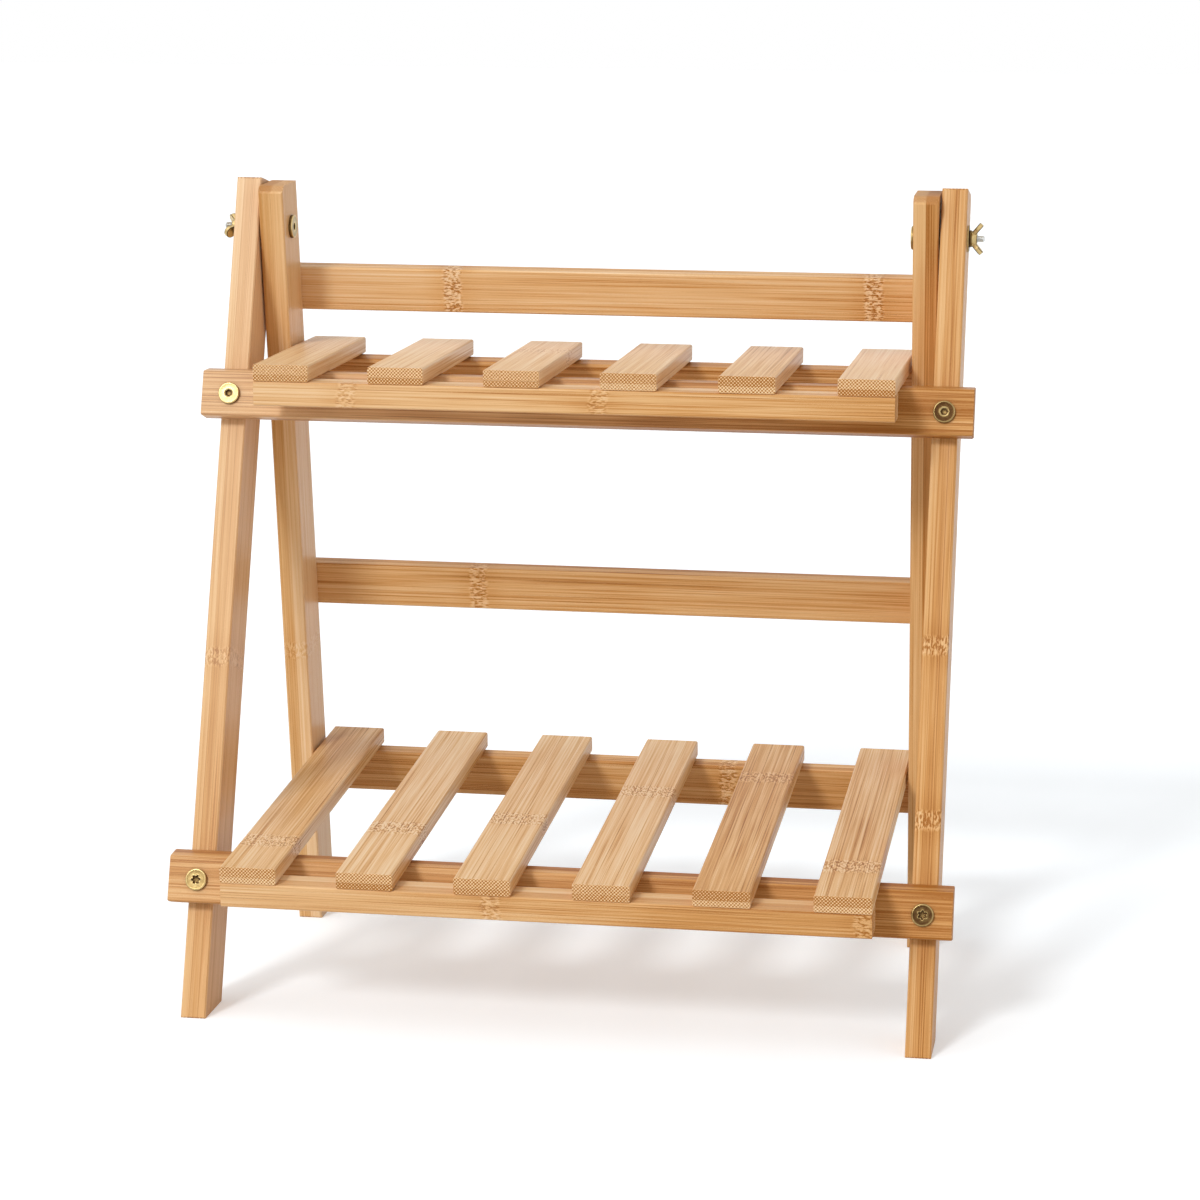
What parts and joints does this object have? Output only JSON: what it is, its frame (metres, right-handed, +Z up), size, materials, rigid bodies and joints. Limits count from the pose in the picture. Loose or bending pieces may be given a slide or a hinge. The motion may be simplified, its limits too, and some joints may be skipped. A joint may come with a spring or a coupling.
{
  "type": "folding shelving unit",
  "caption": "Folding A-frame shelving unit in laminated bamboo: crossing frames on wing-nut pivots carry an upper and a lower slatted shelf that rest on rails and lift off.",
  "frame": {"origin": "on the floor, midway between the sides and midway between the front and back of the lower shelf", "axes": "+X to the right along the shelves, +Y from front to back, +Z up"},
  "size_m": [0.461, 0.2831, 0.482],
  "materials": {
    "bamboo": "satin",
    "bamboo_slat": "satin",
    "brass": "satin",
    "zinc": "satin"
  },
  "bodies": {
    "front_frame": {"front_leg_left": "bamboo", "front_leg_right": "bamboo", "upper_front_rail": "bamboo", "lower_front_rail": "bamboo", "upper_rail_bolt_left": "brass", "upper_rail_bolt_right": "brass", "lower_rail_bolt_left": "brass", "lower_rail_bolt_right": "brass", "upper_rail_insert_left": "zinc", "upper_rail_insert_right": "zinc", "lower_rail_insert_left": "zinc", "lower_rail_insert_right": "zinc", "pivot_washer_left": "brass", "pivot_washer_right": "brass"},
    "rear_frame": {"rear_leg_left": "bamboo", "rear_leg_right": "bamboo", "top_back_rail": "bamboo", "middle_back_rail": "bamboo", "upper_shelf_rear_rail": "bamboo", "lower_shelf_rear_rail": "bamboo", "pivot_bolt_left": "brass", "pivot_bolt_right": "brass", "pivot_spacer_left": "zinc", "pivot_spacer_right": "zinc", "top_rail_screws": "zinc", "middle_rail_screws": "zinc", "upper_rear_rail_screws": "zinc", "lower_rear_rail_screws": "zinc"},
    "upper_shelf": {"upper_slat_1": "bamboo_slat", "upper_slat_2": "bamboo_slat", "upper_slat_3": "bamboo_slat", "upper_slat_4": "bamboo_slat", "upper_slat_5": "bamboo_slat", "upper_slat_6": "bamboo_slat", "upper_shelf_cleat": "bamboo", "upper_cleat_screws": "zinc"},
    "lower_shelf": {"lower_slat_1": "bamboo_slat", "lower_slat_2": "bamboo_slat", "lower_slat_3": "bamboo_slat", "lower_slat_4": "bamboo_slat", "lower_slat_5": "bamboo_slat", "lower_slat_6": "bamboo_slat", "lower_shelf_cleat": "bamboo", "lower_cleat_screws": "zinc"},
    "wing_nut_left": {"wing_nut_left": "brass"},
    "wing_nut_right": {"wing_nut_right": "brass"}
  },
  "joints": [
    {"name": "frame_fold", "type": "hinge", "parent": "front_frame", "child": "rear_frame", "pos_m": [0, 0.04995, 0.452], "axis": [-1, 0, 0], "range_deg": [0, 26.9]},
    {"name": "upper_shelf_lift_off", "type": "slide", "parent": "rear_frame", "child": "upper_shelf", "axis": [0, -0.9945, 0.1045], "range_m": [0, 0.12]},
    {"name": "lower_shelf_lift_off", "type": "slide", "parent": "rear_frame", "child": "lower_shelf", "axis": [0, -0.9994, 0.0349], "range_m": [0, 0.24]},
    {"name": "wing_nut_left_turn", "type": "hinge", "parent": "rear_frame", "child": "wing_nut_left", "pos_m": [-0.2221, 0.04995, 0.452], "axis": [-1, 0, 0], "continuous": true},
    {"name": "wing_nut_right_turn", "type": "hinge", "parent": "rear_frame", "child": "wing_nut_right", "pos_m": [0.2221, 0.04995, 0.452], "axis": [1, 0, 0], "continuous": true}
  ]
}
